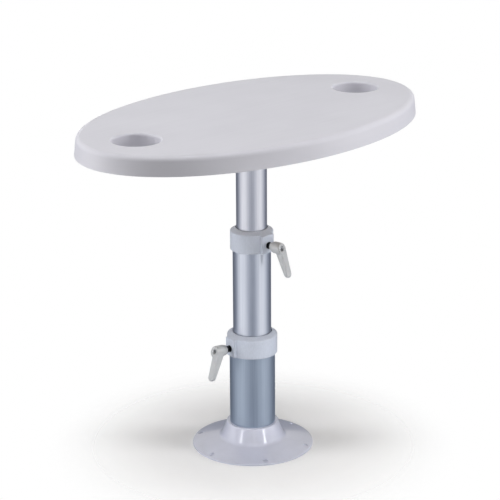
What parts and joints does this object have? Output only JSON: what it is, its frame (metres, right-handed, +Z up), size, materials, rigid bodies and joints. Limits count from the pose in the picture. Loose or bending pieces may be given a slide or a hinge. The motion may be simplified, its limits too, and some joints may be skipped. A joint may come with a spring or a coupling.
{
  "type": "single pole camper table",
  "caption": "Small oval table top with two cup recesses on one telescopic pole; clamp levers hold the height and turn, and a round base screws to the floor.",
  "frame": {"origin": "on the pole's axis, on the underside of the base, where it stands on the floor", "axes": "+Z up along the pole, +X along the long axis of the oval top, +Y along its short axis"},
  "size_m": [0.776, 0.4659, 0.682],
  "materials": {
    "table_plastic": "satin moulded ABS, pale grey",
    "board_plywood": "sealed birch plywood",
    "coated_casting": "cast aluminium with a smooth pale grey coating",
    "anodised_tube": "satin anodised extrusion",
    "collar_nylon": "moulded glass-filled nylon, grey",
    "lever_silver": "die-cast lever with silver-grey coating",
    "black_steel": "blackened steel",
    "bright_steel": "zinc-plated steel",
    "guide_acetal": "dark acetal",
    "pad_nylon": "natural nylon"
  },
  "bodies": {
    "base": {"base_flange": "coated_casting", "lower_tube": "anodised_tube", "lower_collar": "collar_nylon", "lower_guide_sleeve": "guide_acetal", "lower_threaded_bush": "black_steel"},
    "middle_guide": {"middle_foot_bush": "guide_acetal"},
    "middle": {"middle_tube": "anodised_tube", "upper_collar": "collar_nylon", "upper_guide_sleeve": "guide_acetal", "upper_threaded_bush": "black_steel"},
    "upper_guide": {"upper_foot_bush": "guide_acetal"},
    "top": {"upper_tube": "anodised_tube", "top_bracket": "coated_casting", "top_bracket_screws": "bright_steel", "pole_head_screws": "black_steel", "table_board": "board_plywood", "table_board_screws": "bright_steel", "table_top": "table_plastic"},
    "lower_pad": {"lower_pressure_pad": "pad_nylon"},
    "lower_screw": {"lower_clamp_screw": "black_steel", "lower_lever_screw": "bright_steel", "lower_lever_spring": "bright_steel"},
    "lower_handle": {"lower_lever_handle": "lever_silver"},
    "upper_pad": {"upper_pressure_pad": "pad_nylon"},
    "upper_screw": {"upper_clamp_screw": "black_steel", "upper_lever_screw": "bright_steel", "upper_lever_spring": "bright_steel"},
    "upper_handle": {"upper_lever_handle": "lever_silver"}
  },
  "joints": [
    {"name": "lower_slide", "type": "slide", "parent": "base", "child": "middle_guide", "axis": [0, 0, 1], "range_m": [-0.168, 0.008]},
    {"name": "lower_swivel", "type": "hinge", "parent": "middle_guide", "child": "middle", "pos_m": [0, 0, 0.174], "axis": [0, 0, 1], "continuous": true},
    {"name": "upper_slide", "type": "slide", "parent": "middle", "child": "upper_guide", "axis": [0, 0, 1], "range_m": [-0.186, 0.035]},
    {"name": "upper_swivel", "type": "hinge", "parent": "upper_guide", "child": "top", "pos_m": [0, 0, 0.361], "axis": [0, 0, 1], "continuous": true},
    {"name": "lower_pad_press", "type": "slide", "parent": "base", "child": "lower_pad", "axis": [-0.9848, 0.1736, 0], "range_m": [0, 0.0005]},
    {"name": "lower_lever_turn", "type": "hinge", "parent": "lower_pad", "child": "lower_screw", "pos_m": [-0.0517, 0.00912, 0.211], "axis": [-0.9848, 0.1736, 0], "range_deg": [0, 90]},
    {"name": "lower_lever_lift", "type": "slide", "parent": "lower_screw", "child": "lower_handle", "axis": [-0.9848, 0.1736, 0], "range_m": [0, 0.0045], "stiffness_N_per_m": 1500, "springref_m": -0.003, "deforming": ["lower_lever_spring"]},
    {"name": "upper_pad_press", "type": "slide", "parent": "middle", "child": "upper_pad", "axis": [0.0523, -0.9986, 0], "range_m": [0, 0.0005]},
    {"name": "upper_lever_turn", "type": "hinge", "parent": "upper_pad", "child": "upper_screw", "pos_m": [0.00235, -0.04494, 0.425], "axis": [0.0523, -0.9986, 0], "range_deg": [0, 90]},
    {"name": "upper_lever_lift", "type": "slide", "parent": "upper_screw", "child": "upper_handle", "axis": [0.0523, -0.9986, 0], "range_m": [0, 0.0045], "stiffness_N_per_m": 1500, "springref_m": -0.003, "deforming": ["upper_lever_spring"]}
  ],
  "couplings": [
    {"joint": "lower_pad_press", "follows": "lower_lever_turn", "m_per_rad": 0.00019894},
    {"joint": "upper_pad_press", "follows": "upper_lever_turn", "m_per_rad": 0.00019894}
  ]
}
